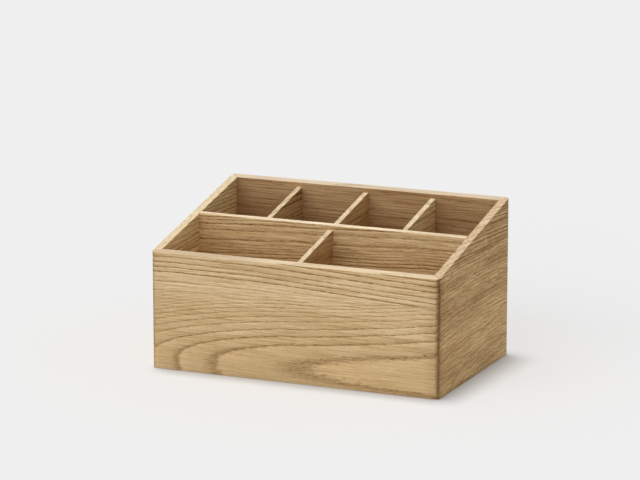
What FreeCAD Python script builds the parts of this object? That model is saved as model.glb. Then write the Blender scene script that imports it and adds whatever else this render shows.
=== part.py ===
import FreeCAD, Part
import os

# Open desk organizer of oak boards: a mitred box with a sloping rim, two bays in front and four behind.
# Millimetres. +X is to the right, +Y to the back, +Z up. The origin is the middle of the underside.

# Box, outside
width = 200.0
depth = 125.5
front_height = 77.5
back_height = 106.0
corner_radius = 3.0

# Boards
wall = 5.6
divider = 3.7
floor_thickness = 4.0
arris = 0.5

# Bays
front_bay_depth = 54.8
divider_drop = 3.0

# Joints: the rebate under the floor, the stopped housings that hold the dividers, the half lap
floor_seat = 2.8
housing_depth = 1.8
long_housing_depth = 1.2
housing_stop = 4.0
lap_share = 0.5
glue_gap = 0.05

# Splines across the mitres
spline_thickness = 1.2
spline_width = 4.0
spline_end_cover = 6.0
spline_inset_share = 0.55

# How far a cutting shape runs past what it cuts
overrun = 10.0
# How close two heights are when they count as one, as a share of the arris
touching_share = 0.01

front_y = -depth / 2
back_y = depth / 2
inner_front = front_y + wall
inner_back = back_y - wall
inner_side = width / 2 - wall
long_front = inner_front + front_bay_depth
long_rear = long_front + divider
rear_divider_x = (inner_side + divider / 2) / 2


def rim(y):
    """Height of the sloping rim plane at y."""
    return front_height + (back_height - front_height) * (y - front_y) / depth


def cross_top(y):
    """Height of a cross divider's top edge at y."""
    return rim(y) - divider_drop


lap_height = floor_thickness + (rim(long_front) - floor_thickness) * lap_share


def block(x, y, z):
    """Box between the low and high values of x, y and z."""
    corner = FreeCAD.Vector(x[0], y[0], z[0])
    return Part.makeBox(x[1] - x[0], y[1] - y[0], z[1] - z[0], corner)


def board_from_side(outline, x):
    """Board with the given (y, z) outline, from x[0] to x[1]."""
    points = [FreeCAD.Vector(x[0], y, z) for y, z in outline]
    face = Part.Face(Part.makePolygon(points + points[:1]))
    return face.extrude(FreeCAD.Vector(x[1] - x[0], 0, 0))


def column(outline, z):
    """Upright prism with the given (x, y) outline, from z[0] to z[1]."""
    points = [FreeCAD.Vector(x, y, z[0]) for x, y in outline]
    face = Part.Face(Part.makePolygon(points + points[:1]))
    return face.extrude(FreeCAD.Vector(0, 0, z[1] - z[0]))


def same(a, b):
    return abs(a - b) < arris * touching_share


def edges_on(shape, height_at):
    """Edges whose ends both lie at the height that height_at gives for their y."""
    return [e for e in shape.Edges if all(same(v.Z, height_at(v.Y)) for v in e.Vertexes)]


def lies_outside(edge):
    """Whether an edge of the ring belongs to its outer faces, not to the bays."""
    middle = edge.CenterOfMass
    return abs(middle.x) > width / 2 - wall / 2 or abs(middle.y) > depth / 2 - wall / 2


def upright_edges(shape):
    ends = [(e, e.Vertexes[0], e.Vertexes[-1]) for e in shape.Edges]
    return [e for e, a, b in ends if same(a.X, b.X) and same(a.Y, b.Y)]


def runs_along_y(edge):
    return not same(edge.Vertexes[0].Y, edge.Vertexes[-1].Y)


def wall_ring():
    """All four walls as one ring, with its rim, rounded corners, eased edges and floor rebate."""
    side = [(front_y, 0), (back_y, 0), (back_y, back_height), (front_y, front_height)]
    outside = board_from_side(side, (-width / 2, width / 2))
    outside = outside.makeFillet(corner_radius, upright_edges(outside))
    inside = block((-inner_side, inner_side), (inner_front, inner_back),
                   (-overrun, back_height + overrun))
    ring = outside.cut(inside)
    under = [e for e in edges_on(ring, lambda y: 0) if lies_outside(e)]
    ring = ring.makeFillet(arris, edges_on(ring, rim) + under)
    seat = floor_seat + glue_gap
    rebate = block((-inner_side - seat, inner_side + seat), (inner_front - seat, inner_back + seat),
                   (-overrun, floor_thickness + glue_gap))
    return ring.cut(rebate)


def mitred(ring, side_x, side_y):
    """The wall of the ring on one side: (0, -1) is the front, (1, 0) the right side, and so on."""
    out_x, out_y = width / 2 + overrun, depth / 2 + overrun
    if side_x:
        outline = [(side_x * out_x, -out_y), (side_x * out_x, out_y),
                   (side_x * inner_side, inner_back), (side_x * inner_side, inner_front)]
    else:
        inner_y = inner_back if side_y > 0 else inner_front
        outline = [(-out_x, side_y * out_y), (out_x, side_y * out_y),
                   (inner_side, inner_y), (-inner_side, inner_y)]
    return ring.common(column(outline, (-overrun, back_height + overrun)))


def spline(side_x, side_y, gap=0):
    """Thin board square across one corner's mitre. With a gap, it is the slot that holds the board."""
    inset = wall * spline_inset_share
    middle = FreeCAD.Vector(side_x * (width / 2 - inset), side_y * (depth / 2 - inset), 0)
    across = FreeCAD.Vector(side_y, -side_x, 0).normalize() * (spline_width / 2 + gap)
    outward = FreeCAD.Vector(side_x, side_y, 0).normalize() * (spline_thickness / 2 + gap)
    corners = [middle + across + outward, middle - across + outward,
               middle - across - outward, middle + across - outward]
    lowest_rim = rim(inner_back) if side_y > 0 else rim(front_y)
    ends = (floor_thickness + spline_end_cover - gap, lowest_rim - spline_end_cover + gap)
    return column([(c.x, c.y) for c in corners], ends)


def divider_slot(x, y, top):
    """Stopped housing for the end of a divider, from the floor to the top of its tongue."""
    return block(x, y, (floor_thickness, top + glue_gap))


def around(x):
    """Width of a housing for a cross divider whose middle is at x."""
    half = divider / 2 + glue_gap
    return x - half, x + half


def front_panel(ring):
    panel = mitred(ring, 0, -1)
    slot = divider_slot(around(0), (inner_front - housing_depth - glue_gap, inner_front + overrun),
                        cross_top(inner_front) - housing_stop)
    return panel.cut([slot, spline(-1, -1, glue_gap), spline(1, -1, glue_gap)])


def back_panel(ring):
    panel = mitred(ring, 0, 1)
    slots = [divider_slot(around(x), (inner_back - overrun, inner_back + housing_depth + glue_gap),
                          cross_top(inner_back) - housing_stop)
             for x in (-rear_divider_x, 0, rear_divider_x)]
    return panel.cut(slots + [spline(-1, 1, glue_gap), spline(1, 1, glue_gap)])


def side_panel(ring, side):
    panel = mitred(ring, side, 0)
    reach = sorted((side * (inner_side - overrun), side * (inner_side + housing_depth + glue_gap)))
    slot = divider_slot(reach, (long_front - glue_gap, long_rear + glue_gap),
                        rim(long_front) - housing_stop)
    return panel.cut([slot, spline(side, -1, glue_gap), spline(side, 1, glue_gap)])


def floor_panel():
    """Bottom board, flush with the underside and let into the walls."""
    return block((-inner_side - floor_seat, inner_side + floor_seat),
                 (inner_front - floor_seat, inner_back + floor_seat), (0, floor_thickness))


def long_divider():
    """Board between the two rows: top in the rim plane, a tongue at each end, open below at its lap."""
    outline = [(long_front, floor_thickness), (long_rear, floor_thickness),
               (long_rear, rim(long_rear)), (long_front, rim(long_front))]
    board = board_from_side(outline, (-inner_side, inner_side))
    top = [e for e in edges_on(board, rim) if not runs_along_y(e)]
    board = board.makeFillet(arris, top)
    tongues = block((-inner_side - housing_depth, inner_side + housing_depth), (long_front, long_rear),
                    (floor_thickness, rim(long_front) - housing_stop))
    lap = block(around(0), (long_front - overrun, long_rear + overrun),
                (floor_thickness - overrun, lap_height + glue_gap))
    slots = [divider_slot(around(x), (long_rear - long_housing_depth - glue_gap, long_rear + overrun),
                          cross_top(long_rear) - housing_stop)
             for x in (-rear_divider_x, rear_divider_x)]
    return board.fuse(tongues).removeSplitter().cut([lap] + slots)


def cross_divider(x, start, start_tongue):
    """Board from start to the back panel, its top below the rim, with a tongue at each end."""
    low_top = cross_top(start) - housing_stop
    high_top = cross_top(inner_back) - housing_stop
    outline = [(start - start_tongue, floor_thickness), (inner_back + housing_depth, floor_thickness),
               (inner_back + housing_depth, high_top), (inner_back, high_top),
               (inner_back, cross_top(inner_back)), (start, cross_top(start)),
               (start, low_top), (start - start_tongue, low_top)]
    board = board_from_side(outline, (x - divider / 2, x + divider / 2))
    top = [e for e in edges_on(board, cross_top) if runs_along_y(e)]
    return board.makeFillet(arris, top)


def rear_divider(side):
    return cross_divider(side * rear_divider_x, long_rear, long_housing_depth)


def centre_divider():
    """Cross board from front to back, open above where it laps the long divider."""
    board = cross_divider(0, inner_front, housing_depth)
    lap = block((-divider, divider), (long_front - glue_gap, long_rear + glue_gap),
                (lap_height, back_height))
    return board.cut(lap)


def pieces():
    ring = wall_ring()
    made = {
        "front_panel": front_panel(ring),
        "back_panel": back_panel(ring),
        "left_side_panel": side_panel(ring, -1),
        "right_side_panel": side_panel(ring, 1),
        "floor_panel": floor_panel(),
        "long_divider": long_divider(),
        "centre_divider": centre_divider(),
        "rear_divider_left": rear_divider(-1),
        "rear_divider_right": rear_divider(1),
    }
    for row, side_y in (("front", -1), ("back", 1)):
        for hand, side_x in (("left", -1), ("right", 1)):
            made["corner_spline_%s_%s" % (row, hand)] = spline(side_x, side_y)
    return made


os.makedirs("parts", exist_ok=True)
for name, shape in pieces().items():
    shape.exportStep("parts/%s.step" % name)
    print("%-28s solids %d  volume %.0f mm3  valid %s"
          % (name, len(shape.Solids), shape.Volume, shape.isValid()))
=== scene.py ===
import math
import bpy
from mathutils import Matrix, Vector


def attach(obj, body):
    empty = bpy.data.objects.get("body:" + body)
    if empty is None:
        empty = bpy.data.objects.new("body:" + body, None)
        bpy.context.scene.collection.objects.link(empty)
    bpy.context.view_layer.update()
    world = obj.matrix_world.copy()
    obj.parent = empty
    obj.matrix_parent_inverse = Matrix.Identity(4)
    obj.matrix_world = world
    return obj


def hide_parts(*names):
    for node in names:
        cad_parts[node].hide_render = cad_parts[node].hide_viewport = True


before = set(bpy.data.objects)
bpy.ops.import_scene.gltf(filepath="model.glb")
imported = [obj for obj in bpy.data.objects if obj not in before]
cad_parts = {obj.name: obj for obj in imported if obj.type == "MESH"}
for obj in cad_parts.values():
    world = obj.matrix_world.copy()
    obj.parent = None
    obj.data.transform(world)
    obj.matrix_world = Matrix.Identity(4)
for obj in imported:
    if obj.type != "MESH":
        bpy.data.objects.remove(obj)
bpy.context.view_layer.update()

# A desk organizer of solid oak: a mitred box with a sloping rim, a long divider and cross dividers.
# Its front faces -Y and its right side +X.

# Sizes of the box, in millimetres, as the joiner set them out
WIDTH, DEPTH = 200.0, 125.5
FRONT_HEIGHT, BACK_HEIGHT = 77.5, 106.0
WALL, DIVIDER, FLOOR = 5.6, 3.7, 4.0
FRONT_BAY, DIVIDER_DROP = 54.8, 3.0
TONGUE, LONG_TONGUE, TONGUE_STOP = 1.8, 1.2, 4.0
GLUE_GAP, ARRIS = 0.05, 0.5
# One millimetre in the scene's metres
MM = 0.001

# Places that follow from the sizes
FRONT_Y, BACK_Y = -DEPTH / 2, DEPTH / 2
INNER_FRONT, INNER_BACK = FRONT_Y + WALL, BACK_Y - WALL
INNER_SIDE = WIDTH / 2 - WALL
LONG_FRONT = INNER_FRONT + FRONT_BAY
LONG_REAR = LONG_FRONT + DIVIDER
REAR_DIVIDER_X = (INNER_SIDE + DIVIDER / 2) / 2


def rim(y):
    """Height of the sloping rim at y."""
    return FRONT_HEIGHT + (BACK_HEIGHT - FRONT_HEIGHT) * (y - FRONT_Y) / DEPTH


LAP_HEIGHT = FLOOR + (rim(LONG_FRONT) - FLOOR) / 2


# Node trees, written as sums

class Value:
    """A number on a socket. Arithmetic on it adds Math nodes to its tree."""

    def __init__(self, tree, socket):
        self.tree, self.socket = tree, socket

    def math(self, operation, *others):
        """The result of a Math node on this value and the others."""
        node = self.tree.nodes.new("ShaderNodeMath")
        node.operation = operation
        for socket, value in zip(node.inputs, (self,) + others):
            feed(self.tree, socket, value)
        return Value(self.tree, node.outputs[0])

    def __add__(self, other):
        return self.math("ADD", other)

    def __sub__(self, other):
        return self.math("SUBTRACT", other)

    def __mul__(self, other):
        return self.math("MULTIPLY", other)

    def __truediv__(self, other):
        return self.math("DIVIDE", other)

    def __neg__(self):
        return self * -1

    def __rsub__(self, other):
        return -self + other

    def __abs__(self):
        return self.math("ABSOLUTE")


def feed(tree, socket, value):
    """Links a value to the socket, or types it in."""
    if isinstance(value, Value):
        value = value.socket
    if isinstance(value, bpy.types.NodeSocket):
        tree.links.new(value, socket)
    else:
        socket.default_value = value


def node(tree, kind, inputs=(), **settings):
    """New node with its settings, and its inputs fed by name or by number."""
    made = tree.nodes.new(kind)
    for name, setting in settings.items():
        setattr(made, name, setting)
    for name, value in dict(inputs).items():
        feed(tree, made.inputs[name], value)
    return made


def out(made, name=0):
    """A node's output, by name or by number."""
    return Value(made.id_data, made.outputs[name])


def vector(tree, x, y, z):
    """One vector from three numbers."""
    return out(node(tree, "ShaderNodeCombineXYZ", {"X": x, "Y": y, "Z": z}))


def parts(tree, vec):
    """The three numbers of a vector."""
    made = node(tree, "ShaderNodeSeparateXYZ", {0: vec})
    return [out(made, axis) for axis in "XYZ"]


def ramp(value, low, high, start=0.0, end=1.0, smooth=True):
    """From start to end as the value goes from low to high, and level outside."""
    made = node(value.tree, "ShaderNodeMapRange", {"Value": value, "From Min": low, "From Max": high,
                                                   "To Min": start, "To Max": end},
                interpolation_type="SMOOTHSTEP" if smooth else "LINEAR")
    return out(made)


def fade(value, low, high):
    """From 1 down to 0 as the value goes from low to high."""
    return ramp(value, low, high, 1.0, 0.0)


def hump(value, rise, fall):
    """From 0 to 1 over the rise and back over the fall, each given as low and high."""
    return ramp(value, *rise) - ramp(value, *fall)


def distance(one_way, other_way):
    """Straight distance of a place that is so far off one way and so far off square to it."""
    return (one_way * one_way + other_way * other_way).math("SQRT")


def power_sum(x, coefficients):
    """c0 + c1 x + c2 x^2 and so on."""
    total = coefficients[-1]
    for c in reversed(coefficients[:-1]):
        total = x * total + c
    return total


def noise(tree, place, detail=2.0, roughness=0.5, dimensions="3D", output="Factor"):
    """Cloudy noise that changes over about one unit of the place."""
    slot = "W" if dimensions == "1D" else "Vector"
    made = node(tree, "ShaderNodeTexNoise", {"Scale": 1.0, "Detail": detail, "Roughness": roughness},
                noise_dimensions=dimensions)
    feed(tree, made.inputs[slot], place)
    return out(made, {"Factor": 0, "Color": 1}[output])


def curve(value, points, x_span, y_span):
    """Reads a drawn curve of (x, y) points within the spans, straight from each to the next."""
    made = node(value.tree, "ShaderNodeFloatCurve", {"Value": value / x_span})
    line = made.mapping.curves[0]
    while len(line.points) < len(points):
        line.points.new(0.5, 0.5)
    for place, (x, y) in zip(line.points, points):
        place.location = (x / x_span, y / y_span)
        place.handle_type = "VECTOR"
    made.mapping.update()
    return out(made) * y_span


# Numbers of a Mix node's colour sockets, whose names it gives to others too
MIX_SHARE, MIX_FIRST, MIX_SECOND, MIX_RESULT = 0, 6, 7, 2


def blend(factor, first, second, kind="MIX"):
    """Colour from first to second, or from first to their product."""
    made = node(factor.tree, "ShaderNodeMix", {MIX_SHARE: factor, MIX_FIRST: first, MIX_SECOND: second},
                data_type="RGBA", blend_type=kind)
    return out(made, MIX_RESULT)


def paint(red, green, blue):
    """Linear colour of the given screen colour, 0 to 255 and not nearly black."""
    straight = [((c / 255 + 0.055) / 1.055) ** 2.4 for c in (red, green, blue)]
    return (*straight, 1.0)


# The oak that all boards share

# Colours of a board between its pores: the paler and the deeper tone, and the paler colour of its top
# edges, which is a painted highlight
HONEY = (paint(233, 207, 166), paint(217, 187, 141), paint(213, 196, 169))
CREAM = (paint(250, 225, 176), paint(241, 212, 158), paint(216, 200, 172))
RUSSET = (paint(204, 169, 126), paint(178, 141, 100), paint(208, 192, 169))
TAWNY = (paint(214, 178, 126), paint(194, 155, 103), paint(218, 200, 172))
BUFF = (paint(228, 195, 144), paint(199, 162, 113), paint(214, 193, 167))
AMBER = (paint(242, 213, 167), paint(226, 191, 142), paint(231, 216, 190))
# The painted highlight on the left part of the front board's top edge, a little duller
DULL_PAINTED_HIGHLIGHT = paint(187, 167, 141)
# What is left of those colours in dark fibres, in the early wood, in a pore and on end grain
FIBRE, EARLY_WOOD = (0.68, 0.60, 0.46, 1.0), (0.49, 0.38, 0.22, 1.0)
PORE, END_GRAIN = (0.30, 0.21, 0.12, 1.0), (0.50, 0.40, 0.30, 1.0)
# What is left of them where hands have rubbed the corners, and in the glue line
HANDLED, GLUE_LINE = (0.44, 0.33, 0.24, 1.0), (0.20, 0.13, 0.09, 1.0)

# Separate marks: length and width in millimetres, and from which to which level of the noise they show
PORE_MARKS = (3.2, 0.56, 0.50, 0.62)
DASH_MARKS = (9.0, 0.60, 0.56, 0.72)
FLECK_MARKS = (6.0, 0.60, 0.60, 0.74)
BROAD_TONES = (80.0, 16.0, 0.32, 0.68)
# Lines that run into each other: length and width in millimetres, and the noise's detail and roughness
FIBRES = (36.0, 0.80, 3.0, 0.62)
GRIT = (3.0, 0.7, 2.0, 0.6)
WAVER = (5.0, 0.8, 2.0, 0.5)
# A year's growth goes from 0 to 1. Its first rows of pores set in just before 0 and thin out after it,
# the smaller pores thin out more slowly, and the dense late wood grows slowly and ends soon.
ROWS_SET_IN, ROWS_THIN_FROM = (0.95, 1.0), 0.06
SMALL_PORES_THIN = (0.10, 0.70)
DENSE_GROWS, DENSE_ENDS = (0.62, 0.92), (0.92, 0.98)
# Where the first rows have thinned out, in a faint year and added for a bold one
ROWS_END, BOLD_ROWS_END = 0.10, 0.16
# How much of a year a ring wavers
WAVER_BY = 0.28
# How far apart in the noise, in millimetres, lie two boards whose seeds differ by one
SEED_STEPS = (311.0, 47.0, 29.0)
# Roughness of plain wood, its gloss, and the duller gloss of the right side
PLAIN_ROUGHNESS, GLOSS, DULL_GLOSS = 0.56, 0.2, 0.05
# Strength of the relief, and its depth in millimetres
RELIEF_STRENGTH, RELIEF_DEPTH = 0.5, 0.25
# How squarely a face looks along the grain where its end grain begins and is full, how squarely up where
# it gets the painted highlight of a top edge, and how squarely up or down where it counts as level
END_FACING, PAINTED_HIGHLIGHT_FACING, LEVEL_FACING = (0.05, 0.95), (0.35, 0.85), (0.3, 0.7)


def group_sockets(tree, sockets):
    """Gives a node group its inputs and outputs, each as name, kind and way."""
    for name, kind, way in sockets:
        tree.interface.new_socket(name, in_out=way, socket_type="NodeSocket" + kind)


def oak_wood():
    """Colour, roughness and relief of oak at a place in a board: pore bands by year, fibres, end grain,
    and a painted highlight on top edges.
    """
    numbers = ["Along", "Across", "Through", "Years", "Strength", "Spread", "Streaks", "Warmth",
               "End Grain", "Painted Top Highlight", "Seed"]
    tree = bpy.data.node_groups.new("oak wood", "ShaderNodeTree")
    group_sockets(tree, [(name, "Float", "INPUT") for name in numbers]
                  + [("Pale", "Color", "INPUT"), ("Deep", "Color", "INPUT"), ("Painted Highlight Colour", "Color", "INPUT"),
                     ("Color", "Color", "OUTPUT"), ("Roughness", "Float", "OUTPUT"),
                     ("Relief", "Float", "OUTPUT")])
    given = node(tree, "NodeGroupInput")
    seed = out(given, "Seed")
    along, across, through = [out(given, name) + seed * step
                              for name, step in zip(("Along", "Across", "Through"), SEED_STEPS)]

    def lines(length, width, detail, roughness):
        """Noise drawn out along the grain."""
        place = vector(tree, along / length, across / width, through / width)
        return noise(tree, place, detail, roughness)

    def marks(length, width, faint, full):
        """Separate marks along the grain, 1 in them and 0 between them."""
        return ramp(lines(length, width, 2.0, 0.5), faint, full)

    years = out(given, "Years") + (lines(*WAVER) - 0.5) * WAVER_BY
    phase, ring = years.math("FRACT"), years.math("FLOOR")
    ring_tone = out(node(tree, "ShaderNodeTexWhiteNoise", {"W": ring + seed}, noise_dimensions="1D"))
    painted_top_highlight, end = out(given, "Painted Top Highlight"), ramp(out(given, "End Grain"), *END_FACING)
    # Under the painted highlight on the tops, every mark shows about half as much
    show = 1.0 - painted_top_highlight * 0.55
    strength = out(given, "Strength") * show
    first_rows = fade(phase, ROWS_THIN_FROM, out(given, "Spread"))
    first_rows = first_rows.math("MAXIMUM", ramp(phase, *ROWS_SET_IN))
    small_pores = fade(phase, *SMALL_PORES_THIN)
    band = (first_rows * 0.76 + small_pores * 0.24) * strength * (ring_tone * 0.25 + 0.75)
    dense = hump(phase, DENSE_GROWS, DENSE_ENDS)

    scattered = (end * 2.5).math("MINIMUM", 0.6) + out(given, "Streaks") * 0.06
    pores = marks(*PORE_MARKS) * (band * 0.95 + scattered * show)
    dashes = marks(*DASH_MARKS) * out(given, "Streaks") * show
    flecks = marks(*FLECK_MARKS)
    fibres = (lines(*FIBRES) - 0.5) * out(given, "Streaks") * show
    grit = (lines(*GRIT) - 0.5) * show
    broad = marks(*BROAD_TONES) * 0.75 + out(given, "Warmth")

    # From here on, a number says how much of each mark shows
    colour = blend(broad, out(given, "Pale"), out(given, "Deep"))
    # Faces that look up are painted paler: a painted highlight
    colour = blend(painted_top_highlight * (0.95 - broad * 0.25), colour, out(given, "Painted Highlight Colour"))
    colour = blend(fibres * 2.5 + grit * 0.7 + 0.35, colour, FIBRE, "MULTIPLY")
    colour = blend(band * 0.85, colour, EARLY_WOOD, "MULTIPLY")
    colour = blend(pores * 0.55 + dashes * 0.15, colour, PORE, "MULTIPLY")
    colour = blend(end * 0.60, colour, END_GRAIN, "MULTIPLY")
    shade = node(tree, "ShaderNodeHueSaturation",
                 {"Value": flecks * 0.10 + dense * 0.07 + 1.0, "Color": colour})

    rough = band * 0.08 + pores * 0.15 + end * 0.10 - fibres * 0.2 + PLAIN_ROUGHNESS
    relief = -(pores + dashes * 0.3 + band * 0.35) + fibres * 0.4
    node(tree, "NodeGroupOutput", {"Color": out(shade), "Roughness": rough, "Relief": relief})
    return tree


OAK = oak_wood()

# Over what length and width, in millimetres, the heart of the tree sways
SWAY_LENGTH, SWAY_WIDTH = 75.0, 26.0
# How far off a mitre, in millimetres, the dark of handling ends in its narrow and in its wide strip, and
# how far off it the glue shows
NARROW_WEAR, WIDE_WEAR, GLUE_WIDTH = (0.2, 4.0), (0.0, 13.0), (0.15, 0.8)
# How deep in the wall the wear ends, and the height of its patches, in millimetres
WEAR_DEPTH, WEAR_PATCH = (3.0, 4.5), 9.0
# Between which places, in millimetres, it grows from left to right, ends from front to back and grows
# upwards
HELD_ACROSS, HELD_BACK, HELD_UP = (-50.0, 50.0), (-20.0, 20.0), (20.0, 75.0)
# What is left of it at the corners that hands don't hold, and how much it shows low down and high up
UNTOUCHED, LOW_WEAR, HIGH_WEAR = 0.10, 0.92, 1.12
# Radius of a pin hole's middle and of its edge, in millimetres
PIN_HOLE_SIZE = (0.3, 0.8)


class Board:
    """One board's material in the making: places in the board in millimetres, and its figure."""

    def __init__(self, name, grain):
        """The grain runs along X or Y in an upright board, and along X in a flat one."""
        self.material = bpy.data.materials.new(name)
        self.material.use_nodes = True
        self.tree = self.material.node_tree
        self.tree.nodes.clear()
        coords = node(self.tree, "ShaderNodeTexCoord")
        to_mm = node(self.tree, "ShaderNodeVectorMath", {0: coords.outputs["Object"], "Scale": 1 / MM},
                     operation="SCALE")
        self.place = parts(self.tree, out(to_mm))
        self.facing = parts(self.tree, out(coords, "Normal"))
        # Which of x, y and z runs along, across and through the board
        order = {"X": (0, 2, 1), "Y": (1, 2, 0), "flat": (0, 1, 2)}[grain]
        self.along, self.across, self.through = [self.place[i] for i in order]
        self.end_grain = abs(self.facing[order[0]])
        # Faces that look up get a painted highlight: a paler colour and fainter marks
        self.painted_top_highlight = 0.0 if grain == "flat" else ramp(self.facing[2], *PAINTED_HIGHLIGHT_FACING)

    def from_heart(self, across, through, tilt_across=0.0, tilt_through=0.0, sway=3.5):
        """Distance from the heart of the tree, a nearly straight line past the board."""
        sideways = noise(self.tree, vector(self.tree, self.along / SWAY_LENGTH, self.across / SWAY_WIDTH,
                                           self.through / SWAY_WIDTH), 1.0, 0.4, output="Color")
        drift = parts(self.tree, sideways)
        up = self.across - (self.along * tilt_across + across) + (drift[0] - 0.5) * (2 * sway)
        back = self.through - (self.along * tilt_through + through) + (drift[1] - 0.5) * (2 * sway)
        return distance(up, back)

    def mitre_wear(self, colour):
        """Handled, darker wood about the front right corner, and the hairline of glue in each mitre."""
        from_side = WIDTH / 2 - abs(self.place[0])
        from_end = DEPTH / 2 - abs(self.place[1])
        off_mitre = abs(from_side - from_end)
        upright = fade(abs(self.facing[2]), *LEVEL_FACING)
        outside = fade(from_side.math("MINIMUM", from_end), *WEAR_DEPTH) * upright
        to_the_right = ramp(self.place[0], *HELD_ACROSS, UNTOUCHED, 1.0)
        held = to_the_right * ramp(self.place[1], *HELD_BACK, 1.0, UNTOUCHED)
        uneven = noise(self.tree, vector(self.tree, 0.0, 0.0, self.place[2] / WEAR_PATCH)) * 0.6 + 0.65
        higher = ramp(self.place[2], *HELD_UP, LOW_WEAR, HIGH_WEAR)
        narrow, wide = fade(off_mitre, *NARROW_WEAR), fade(off_mitre, *WIDE_WEAR)
        # From here on, a number says how much of each kind of wear shows
        handled = (narrow * uneven * 0.36 + wide * 0.30) * higher * held * outside
        glue = fade(off_mitre, *GLUE_WIDTH) * (1.0 - upright * 0.6 + outside * held)
        colour = blend(handled, colour, HANDLED, "MULTIPLY")
        return blend(glue * 0.14, colour, GLUE_LINE, "MULTIPLY")

    def pin_hole(self, colour, along, across):
        """A dark dot at a place on the board."""
        near = fade(distance(self.along - along, self.across - across), *PIN_HOLE_SIZE)
        return blend(near * 0.8, colour, PORE, "MULTIPLY")

    def finish(self, years, strength, seed, tone=HONEY, warmth=0.0, mitred=False, hole=None, streaks=1.0,
               spread=0.0, fineness=1.0, gloss=GLOSS):
        """Oak of the given figure, with the corners of a mitred wall or a pin hole where it has them."""
        tree = self.tree
        # The third colour of a tone is the painted highlight of its top edges
        pale, deep, painted_highlight_colour = tone
        rows_end = strength * BOLD_ROWS_END + spread + ROWS_END
        wood = node(tree, "ShaderNodeGroup",
                    {"Along": self.along * fineness, "Across": self.across * fineness,
                     "Through": self.through * fineness, "Years": years, "Strength": strength,
                     "Spread": rows_end, "Streaks": streaks, "Warmth": warmth,
                     "End Grain": self.end_grain, "Painted Top Highlight": self.painted_top_highlight, "Seed": seed,
                     "Pale": pale, "Deep": deep, "Painted Highlight Colour": painted_highlight_colour}, node_tree=OAK)
        colour = out(wood, "Color")
        if mitred:
            colour = self.mitre_wear(colour)
        if hole:
            colour = self.pin_hole(colour, *hole)
        bump = node(tree, "ShaderNodeBump", {"Strength": RELIEF_STRENGTH, "Distance": RELIEF_DEPTH * MM,
                                             "Height": out(wood, "Relief")})
        surface = node(tree, "ShaderNodeBsdfPrincipled",
                       {"Base Color": colour, "Roughness": out(wood, "Roughness"),
                        "Specular IOR Level": gloss, "Normal": out(bump)})
        node(tree, "ShaderNodeOutputMaterial", {"Surface": surface.outputs[0]})
        return self.material


# The front board

# Where each year's growth begins, in millimetres outwards from the first year's ring, and how boldly its
# early wood shows
FRONT_YEARS = [(0.0, 0.6), (3.5, 0.7), (7.75, 0.7), (10.65, 1.0), (13.05, 0.85), (15.4, 0.7),
               (18.3, 0.7), (20.65, 0.75), (23.0, 0.75), (25.0, 0.75), (26.95, 0.85), (28.6, 0.75),
               (30.0, 0.6), (31.6, 0.5), (33.4, 0.45), (35.2, 0.65), (37.1, 0.6), (39.1, 0.55),
               (42.3, 0.95), (44.9, 0.4), (47.8, 1.45), (50.6, 1.2), (53.35, 1.0), (56.7, 1.2),
               (59.95, 1.2), (63.0, 1.1), (66.0, 1.0), (70.0, 1.0)]
# The last of those places, and the most years and the greatest boldness that their curves can hold
LAST_YEAR, MOST_YEARS, BOLDEST = FRONT_YEARS[-1][0], 30.0, 2.0
# Over this many millimetres at its end, a year's boldness goes over to the next one's
YEAR_CHANGE = 0.2
# Places along the board, to the right of its middle, are in tenths of a metre. A row of numbers is a curve
# along it: its value in millimetres at the middle, then what the place, its square and so on add.
TENTH = 100.0
# Height of the heart above the foot
HEART_HEIGHT = (10.3, 3.0, 1.7)
# How far behind the face the heart lies
HEART_DEPTH = (40.0, 8.9)
# How far behind the face the first year's ring lies
FIRST_YEAR_DEPTH = (8.0, -3.0, 2.5, -1.6, 0.3)
# Between which places the rings under the heart narrow from twice the width of those above to the same
NARROWING = (-0.5, 0.2)
# Between which heights the arches give way to long lines: at the left end, and added where it is sudden
LINES_FROM, LINES_TO = (50.0, 8.0), (60.0, -1.2)
# Between which places that change grows sudden
SUDDEN = (-0.6, 0.1)
# How far the long lines come down: at the left end, then what the share of the way to the right end and
# its square add
LINES_DROP = (0.0, 31.3, 2.0)
# Between which places the outer arches crowd together, over which rings, and by how much
CROWDED, CROWDED_RINGS, CROWDED_BY = (-0.5, 0.45), (17.0, 27.0), 2.4
# Between which places the arches are drawn in towards the heart, then no longer, and by how much
DRAWN_IN, LET_GO, DRAWN_BY = (-0.1, 0.1), (0.35, 0.55), 0.4
# Between which places they come to bulge outwards, and by how much
BULGING, BULGING_BY = (0.65, 0.92), 0.55
# From which to which ring these two set in
BENT_RINGS = (8.5, 12.0)
# Between which places the long lines dip, then no longer, and by how much
DIP_STARTS, DIP_ENDS, DIP_DEPTH = (-0.85, -0.65), (-0.45, -0.25), 0.4
# Heights over which the foot's wider rows of pores end, the warm tone fades and the streaks grow
FOOT, WARM, STREAKED = (8.0, 20.0), (20.0, 62.0), (18.0, 30.0)
# Between which places the painted highlight on the top edge goes from dull to bright
BRIGHTER = (-0.55, 0.05)
# Place of the pin hole: right of the board's middle and above its foot, in millimetres
PIN_HOLE = (90.75, 27.9)


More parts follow.
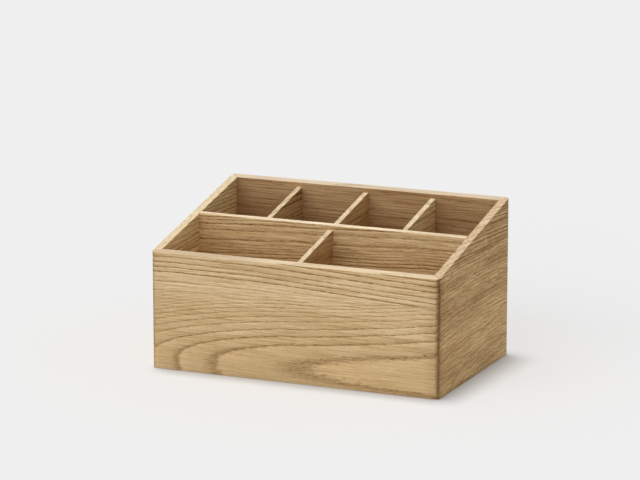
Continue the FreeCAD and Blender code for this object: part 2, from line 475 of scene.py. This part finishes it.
def front_oak():
    """Flat-sawn front: arches that open to the right above the foot, long lines under the rim."""
    board = Board("front oak", "X")
    x = board.along / TENTH
    height, depth = board.across, board.through - FRONT_Y
    sudden = ramp(x, *SUDDEN)
    lifted = ramp(height, power_sum(sudden, LINES_FROM), power_sum(sudden, LINES_TO))
    from_left = x * 0.5 + 0.5
    up = height + power_sum(from_left, LINES_DROP) * lifted - power_sum(x, HEART_HEIGHT)
    up = up.math("MAXIMUM", up * ramp(x, *NARROWING, -0.5, -1.0))
    heart = power_sum(x, HEART_DEPTH)
    radius = distance(up, heart - depth) - heart + power_sum(x, FIRST_YEAR_DEPTH)
    crowded = ramp(x, *CROWDED, 0.0, CROWDED_BY) * ramp(radius, *CROWDED_RINGS)
    bent = hump(x, DRAWN_IN, LET_GO) * DRAWN_BY - ramp(x, *BULGING, 0.0, BULGING_BY)
    arches = crowded + bent * ramp(radius, *BENT_RINGS)
    radius = radius + (1.0 - lifted) * arches + lifted * hump(x, DIP_STARTS, DIP_ENDS) * DIP_DEPTH
    count = [(start, year) for year, (start, bold) in enumerate(FRONT_YEARS)]
    boldness = []
    for (start, bold), (following, _) in zip(FRONT_YEARS, FRONT_YEARS[1:]):
        boldness += [(start, bold), (following - YEAR_CHANGE, bold)]
    years = curve(radius, count, LAST_YEAR, MOST_YEARS)
    foot = fade(height, *FOOT)
    # The bands are faint halfway through the change from arches to lines
    calm = 1.0 - lifted * (1.0 - lifted) * sudden * 4.0
    strength = curve(radius, boldness, LAST_YEAR, BOLDEST) * (1.0 - foot * 0.15) * calm
    # Fainter bands under the painted highlight on the top edge
    strength = strength * (1.0 - board.painted_top_highlight * 0.6)
    # The painted highlight on the top edge, duller to the left
    pale, deep, painted_highlight_colour = HONEY
    tone = (pale, deep, blend(ramp(x, *BRIGHTER), DULL_PAINTED_HIGHLIGHT, painted_highlight_colour))
    return board.finish(years, strength, seed=1.0, tone=tone, mitred=True, hole=PIN_HOLE,
                        warmth=ramp(height, *WARM, 0.95, 0.0, smooth=False),
                        streaks=ramp(height, *STREAKED, 1.0, 1.5), spread=foot * 0.10)


# The other boards

# Over how many millimetres of growth the years change between narrow and wide, and between bold and faint
WIDTHS_CHANGE, BOLDNESS_CHANGES = 16.0, 7.0


def steady_growth(board, seed, ring_width, strength, heart, tone=HONEY, mitred=False, warmth=0.0,
                  streaks=1.3, fineness=1.0, gloss=GLOSS):
    """Years of about one width. The heart is given as its place across and through the board, how far it
    tilts each way, and how much it sways."""
    radius = board.from_heart(*heart)
    unsteady = noise(board.tree, radius / WIDTHS_CHANGE + seed, 1.0, dimensions="1D") - 0.5
    patches = noise(board.tree, radius / BOLDNESS_CHANGES + seed * 3.0, 1.0, dimensions="1D")
    bold = ramp(patches, 0.35, 0.6, 0.45, 1.0)
    years = radius / ring_width + unsteady * 3.0
    return board.finish(years, bold * strength, seed, tone, warmth, mitred, streaks=streaks,
                        fineness=fineness, gloss=gloss)


def plain_oak(name, grain, **growth):
    """A board of steady growth, alike all over."""
    return steady_growth(Board(name, grain), **growth)


def two_tones(share, first, second):
    """The tone of a board that goes from the first to the second."""
    return blend(share, first[0], second[0]), blend(share, first[1], second[1]), second[2]


# Height on the right side, in millimetres, and how deep its tone is there
SIDE_STRIPES = [(0.0, 0.15), (30.0, 0.25), (52.0, 0.35), (56.0, 0.5), (60.0, 0.3), (65.5, 0.35),
                (69.0, 1.15), (73.0, 0.9), (75.0, 0.15), (78.5, 0.0), (80.5, 1.3), (83.0, 1.2),
                (85.5, 0.5), (90.0, 0.3), (92.0, 1.5), (95.0, 1.3), (97.0, 0.5), (106.0, 0.7)]
# The greatest height and depth of tone that their curve can hold, and the depth that adds nothing
STRIPES_TOP, DEEPEST, EVEN_DEPTH = 110.0, 2.0, 0.4
# Between which heights its rings grow clear, then clearer, and its streaks stronger
CLEAR_RINGS, CLEARER_RINGS, STRONGER_STREAKS = (15.0, 60.0), (66.0, 90.0), (30.0, 70.0)
# Between which places from front to back its stripes come to their full depth
STRIPES_DEEPEN = (-50.0, 30.0)


def right_side_oak():
    """Quiet, finely streaked side: its arches are faint near the foot, and the rear top is deeper."""
    board = Board("right side oak", "Y")
    height = board.across
    clear = ramp(height, *CLEAR_RINGS, 0.5, 0.8) + ramp(height, *CLEARER_RINGS, 0.0, 0.7)
    to_the_rear = ramp(board.along, *STRIPES_DEEPEN, 0.6, 1.0)
    deeper = (curve(height, SIDE_STRIPES, STRIPES_TOP, DEEPEST) - EVEN_DEPTH) * to_the_rear
    # Fewer streaks under the painted highlight on the top edge
    streaked = ramp(height, *STRONGER_STREAKS, 5.0, 6.5) - board.painted_top_highlight * 3.0
    return steady_growth(board, seed=4.7, ring_width=2.3, strength=clear, tone=BUFF, mitred=True,
                         heart=(-20.0, 140.0, -0.13, -0.25, 0.8), warmth=deeper, streaks=streaked,
                         fineness=1.45, gloss=DULL_GLOSS)


def left_side_oak():
    """Paler on its inner face than outside: painted light, for the light that falls on the inner face."""
    board = Board("left side oak", "Y")
    outer_face = -WIDTH / 2
    # The inner face is painted paler, standing in for light; the top edge has fainter bands under its
    # painted highlight
    painted_light_inwards = ramp(board.through, outer_face + 1.0, outer_face + 4.0)
    return steady_growth(board, seed=3.1, ring_width=2.6, strength=1.2 - board.painted_top_highlight * 0.7,
                         heart=(4.0, -142.0, -0.10, 0.20, 1.5), tone=two_tones(painted_light_inwards, HONEY, CREAM),
                         mitred=True, streaks=2.6)


def rear_divider_oak():
    """The right board of the pair is paler and quieter than the left."""
    board = Board("rear divider oak", "Y")
    right = ramp(board.place[0], -10.0, 10.0)
    return steady_growth(board, seed=8.3, ring_width=2.6, strength=1.7 - right * 0.7,
                         heart=(-24.0, 40.0, 0.04, 0.06, 2.0), tone=two_tones(right, TAWNY, CREAM),
                         streaks=2.6)


BOARDS = {
    "front_panel": front_oak(),
    "back_panel": plain_oak("back oak", "X", seed=2.3, ring_width=3.2, strength=0.75,
                            heart=(38.0, 88.0, 0.02, 0.10), tone=RUSSET, mitred=True, streaks=2.2),
    "left_side_panel": left_side_oak(),
    "right_side_panel": right_side_oak(),
    "floor_panel": plain_oak("floor oak", "flat", seed=5.2, ring_width=3.4, strength=0.8,
                             heart=(12.0, -38.0, 0.03, 0.08)),
    "long_divider": plain_oak("long divider oak", "X", seed=6.4, ring_width=2.6, strength=1.5,
                              heart=(-36.0, -28.0, 0.03, 0.05, 2.0), tone=AMBER, streaks=2.6),
}
for row in ("front", "back"):
    for hand in ("left", "right"):
        name = "corner_spline_%s_%s" % (row, hand)
        BOARDS[name] = plain_oak(name.replace("_", " ") + " oak", "flat", seed=7.5, ring_width=2.5,
                                 strength=0.8, heart=(30.0, 20.0))
for name, material in BOARDS.items():
    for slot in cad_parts[name].material_slots:
        slot.material = material


# Cross dividers

# Points nearer than this are one, in metres
SAME_POINT = 1e-6
# An edge this near to the sloping top is on it, in metres, and one this far off the middle of the
# board's thickness, as a share of it, is on a side
ON_SLOPE, ON_SIDE = (1e-5, 2e-5), (0.4, 0.45)
# Flats that round off each eased edge
EASED_FLATS = 3


def tongued_board(tree, size):
    """A board with a sloping top and a tongue at each end, with the middle of its thickness at x = 0."""
    thick, foot, start, end = [size[name] for name in ("Thickness", "Foot", "Start", "End")]
    low, high, stop = size["Start Height"], size["End Height"], size["Tongue Stop"]
    first, last = start - size["Start Tongue"], end + size["End Tongue"]
    corners = [(first, foot), (last, foot), (last, high - stop), (end, high - stop), (end, high),
               (start, low), (start, low - stop), (first, low - stop)]
    outline = node(tree, "GeometryNodeMeshCircle", {"Vertices": len(corners)}, fill_type="NGON")
    pick = node(tree, "GeometryNodeIndexSwitch", data_type="VECTOR")
    while len(pick.index_switch_items) < len(corners):
        pick.index_switch_items.new()
    feed(tree, pick.inputs["Index"], out(node(tree, "GeometryNodeInputIndex")))
    for number, (y, z) in enumerate(corners):
        feed(tree, pick.inputs[number + 1], vector(tree, thick * -0.5, y, z))
    side = node(tree, "GeometryNodeSetPosition", {"Geometry": out(outline), "Position": out(pick)})
    through = vector(tree, thick, 0.0, 0.0)
    other_faces = node(tree, "GeometryNodeExtrudeMesh", {"Mesh": out(side), "Offset": through,
                                                         "Offset Scale": 1.0, "Individual": False})
    side = node(tree, "GeometryNodeFlipFaces", {"Mesh": out(side)})
    closed = node(tree, "GeometryNodeJoinGeometry")
    for faces in (other_faces, side):
        feed(tree, closed.inputs[0], out(faces))
    return out(node(tree, "GeometryNodeMergeByDistance", {"Geometry": out(closed),
                                                          "Distance": SAME_POINT}))


def cut_lap(tree, board, size):
    """Cuts a slot into the board from above."""
    start, end, high = size["Lap Start"], size["Lap End"], size["End Height"]
    block = node(tree, "GeometryNodeMeshCube",
                 {"Size": vector(tree, size["Thickness"] * 2.0, end - start, high)})
    place = vector(tree, 0.0, (start + end) * 0.5, size["Lap Foot"] + high * 0.5)
    block = node(tree, "GeometryNodeTransform", {"Geometry": out(block), "Translation": place})
    return out(node(tree, "GeometryNodeMeshBoolean", {"Mesh 1": board, "Mesh 2": out(block)},
                    operation="DIFFERENCE"))


def mark_top_edges(tree, board, size):
    """Marks the long edges of the sloping top, to be eased."""
    x, y, z = parts(tree, out(node(tree, "GeometryNodeInputPosition")))
    start, end, low, high = [size[name] for name in ("Start", "End", "Start Height", "End Height")]
    top = low + (high - low) * (y - start) / (end - start)
    at_top = fade(abs(z - top), *ON_SLOPE)
    at_side = ramp(abs(x), *[size["Thickness"] * share for share in ON_SIDE])
    return out(node(tree, "GeometryNodeStoreNamedAttribute",
                    {"Geometry": board, "Name": "bevel_weight_edge", "Value": at_top * at_side},
                    data_type="FLOAT", domain="EDGE"))


def repeat_across(tree, board, size):
    """A row of such boards, with its middle at x = 0."""
    spacing, count = size["Spacing"], size["Count"]
    leftmost = vector(tree, (count - 1.0) * spacing * -0.5, 0.0, 0.0)
    row = node(tree, "GeometryNodeMeshLine", {"Count": count, "Offset": vector(tree, spacing, 0.0, 0.0),
                                              "Start Location": leftmost})
    placed = node(tree, "GeometryNodeInstanceOnPoints", {"Points": out(row), "Instance": board})
    return out(node(tree, "GeometryNodeRealizeInstances", {"Geometry": out(placed)}))


def divider_tree():
    """A board with a tongue at each end and a lap open above, set out once and repeated across the box."""
    lengths = ["Thickness", "Foot", "Start", "End", "Start Height", "End Height", "Start Tongue",
               "End Tongue", "Tongue Stop", "Lap Start", "Lap End", "Lap Foot", "Spacing"]
    tree = bpy.data.node_groups.new("cross divider", "GeometryNodeTree")
    group_sockets(tree, [(name, "Float", "INPUT") for name in lengths]
                  + [("Count", "Int", "INPUT"), ("Material", "Material", "INPUT"),
                     ("Geometry", "Geometry", "OUTPUT")])
    given = node(tree, "NodeGroupInput")
    size = {name: out(given, name) for name in lengths + ["Count"]}
    board = tongued_board(tree, size)
    board = cut_lap(tree, board, size)
    board = mark_top_edges(tree, board, size)
    boards = repeat_across(tree, board, size)
    dressed = node(tree, "GeometryNodeSetMaterial", {"Geometry": boards,
                                                     "Material": out(given, "Material")})
    node(tree, "NodeGroupOutput", {"Geometry": out(dressed)})
    return tree


DIVIDERS = divider_tree()


def divider(name, material, sizes, stands_for):
    """Makes the boards from the tree, eases their top edges and keeps the plain mesh."""
    blank = bpy.data.meshes.new(name + " blank")
    piece = bpy.data.objects.new(name, blank)
    bpy.context.scene.collection.objects.link(piece)
    build = piece.modifiers.new("boards", "NODES")
    build.node_group = DIVIDERS
    names = {item.name: item.identifier for item in DIVIDERS.interface.items_tree
             if item.in_out == "INPUT"}
    for size_name, size in sizes.items():
        build[names[size_name]] = size
    build[names["Material"]] = material
    ease = piece.modifiers.new("eased top", "BEVEL")
    ease.width = ARRIS * MM
    ease.segments = EASED_FLATS
    ease.limit_method = "WEIGHT"
    ease.harden_normals = True
    evaluated = piece.evaluated_get(bpy.context.evaluated_depsgraph_get())
    piece.data = bpy.data.meshes.new_from_object(evaluated)
    piece.data.name = name
    piece.modifiers.clear()
    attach(piece, "root")
    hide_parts(*stands_for)


def divider_sizes(start, start_tongue, count, spacing, lap=None):
    """The tree's inputs, in metres. Without a lap, its cut passes behind the boards."""
    lap_start, lap_end = lap or (DEPTH, DEPTH + WALL)
    lengths = {"Thickness": DIVIDER, "Foot": FLOOR, "Start": start, "End": INNER_BACK,
               "Start Height": rim(start) - DIVIDER_DROP, "End Height": rim(INNER_BACK) - DIVIDER_DROP,
               "Start Tongue": start_tongue, "End Tongue": TONGUE, "Tongue Stop": TONGUE_STOP,
               "Lap Start": lap_start, "Lap End": lap_end, "Lap Foot": LAP_HEIGHT, "Spacing": spacing}
    return dict({name: length * MM for name, length in lengths.items()}, Count=count)


centre_oak = plain_oak("centre divider oak", "Y", seed=9.1, ring_width=2.8, strength=0.9,
                       heart=(-18.0, -30.0, 0.03, 0.05, 2.0), tone=TAWNY, streaks=2.2)
divider("rear_dividers", rear_divider_oak(),
        divider_sizes(LONG_REAR, LONG_TONGUE, count=2, spacing=REAR_DIVIDER_X * 2),
        ["rear_divider_left", "rear_divider_right"])
divider("centre_board", centre_oak,
        divider_sizes(INNER_FRONT, TONGUE, count=1, spacing=0.0,
                      lap=(LONG_FRONT - GLUE_GAP, LONG_REAR + GLUE_GAP)),
        ["centre_divider"])


# Floor, light and camera

# Brightness of the backdrop that is seen, and of the sky that lights the box
BACKDROP, SKY = paint(239, 239, 239)[0], 0.45
# White of the paper, how much its tooth changes it, and how far the paper reaches, in metres
PAPER_WHITE, PAPER_TOOTH, PAPER_REACH = 0.664, 0.002, 8.0
# The camera's place in metres, and in degrees its turn round the box to the right and its look down
CAMERA_PLACE, CAMERA_TURN, CAMERA_TILT = (0.79556, -1.84716, 0.53039), 23.517, 12.594
# Its lens and the width of its sensor in millimetres, and how far it sees in metres
LENS, SENSOR_WIDTH, CAMERA_REACH = 178.06, 36.0, 50.0


def grey(level):
    """A colour without hue."""
    return (level, level, level, 1.0)


def paper():
    """Matt white paper with a faint tooth."""
    material = bpy.data.materials.new("paper")
    material.use_nodes = True
    tree = material.node_tree
    tree.nodes.clear()
    coords = node(tree, "ShaderNodeTexCoord")
    tooth = noise(tree, coords.outputs["Object"])
    darker, paler = [grey(PAPER_WHITE * (1.0 + change)) for change in (-PAPER_TOOTH, PAPER_TOOTH)]
    surface = node(tree, "ShaderNodeBsdfDiffuse", {"Color": blend(tooth, darker, paler)})
    node(tree, "ShaderNodeOutputMaterial", {"Surface": surface.outputs[0]})
    return material


def paper_floor(reach):
    """A square of paper that the box stands in the middle of."""
    mesh = bpy.data.meshes.new("paper floor")
    mesh.from_pydata([(x * reach, y * reach, 0.0) for x, y in ((-1, -1), (1, -1), (1, 1), (-1, 1))],
                     [], [(0, 1, 2, 3)])
    mesh.materials.append(paper())
    floor = bpy.data.objects.new("paper_floor", mesh)
    bpy.context.scene.collection.objects.link(floor)


def sky():
    """Even light all round; the camera, gloss and glass see the colour of the backdrop instead."""
    world = bpy.data.worlds.new("studio")
    bpy.context.scene.world = world
    world.use_nodes = True
    tree = world.node_tree
    tree.nodes.clear()
    ray = node(tree, "ShaderNodeLightPath")
    seen = out(ray, "Is Camera Ray").math("MAXIMUM", out(ray, "Is Glossy Ray"))
    seen = seen.math("MAXIMUM", out(ray, "Is Transmission Ray"))
    strength = seen * (BACKDROP - SKY) + SKY
    light = node(tree, "ShaderNodeBackground", {"Color": grey(1.0), "Strength": strength})
    node(tree, "ShaderNodeOutputWorld", {"Surface": light.outputs[0]})


def soft_sun(name, towards, strength, spread):
    """A lamp far away in the direction given, which fills so many degrees of the sky."""
    lamp = bpy.data.lights.new(name, "SUN")
    lamp.energy, lamp.angle = strength, math.radians(spread)
    sun = bpy.data.objects.new(name, lamp)
    sun.rotation_euler = Vector(towards).to_track_quat("Z", "Y").to_euler()
    bpy.context.scene.collection.objects.link(sun)


def box_camera():
    """Looks at the box from the front, a little from the right and from above."""
    lens = bpy.data.cameras.new("camera")
    lens.sensor_width, lens.lens = SENSOR_WIDTH, LENS
    lens.clip_end = CAMERA_REACH
    camera = bpy.data.objects.new("camera", lens)
    turn, tilt = math.radians(CAMERA_TURN), math.radians(CAMERA_TILT)
    back = Vector((math.sin(turn) * math.cos(tilt), -math.cos(turn) * math.cos(tilt), math.sin(tilt)))
    camera.rotation_euler = back.to_track_quat("Z", "Y").to_euler()
    camera.location = CAMERA_PLACE
    bpy.context.scene.collection.objects.link(camera)
    bpy.context.scene.camera = camera


paper_floor(PAPER_REACH)
sky()
soft_sun("top_light", towards=(-0.10, 0.055, 1.0), strength=2.4, spread=19.0)
soft_sun("front_light", towards=(-0.33, -0.90, 0.30), strength=0.94, spread=62.0)
box_camera()
bpy.context.scene.view_settings.view_transform = "Standard"
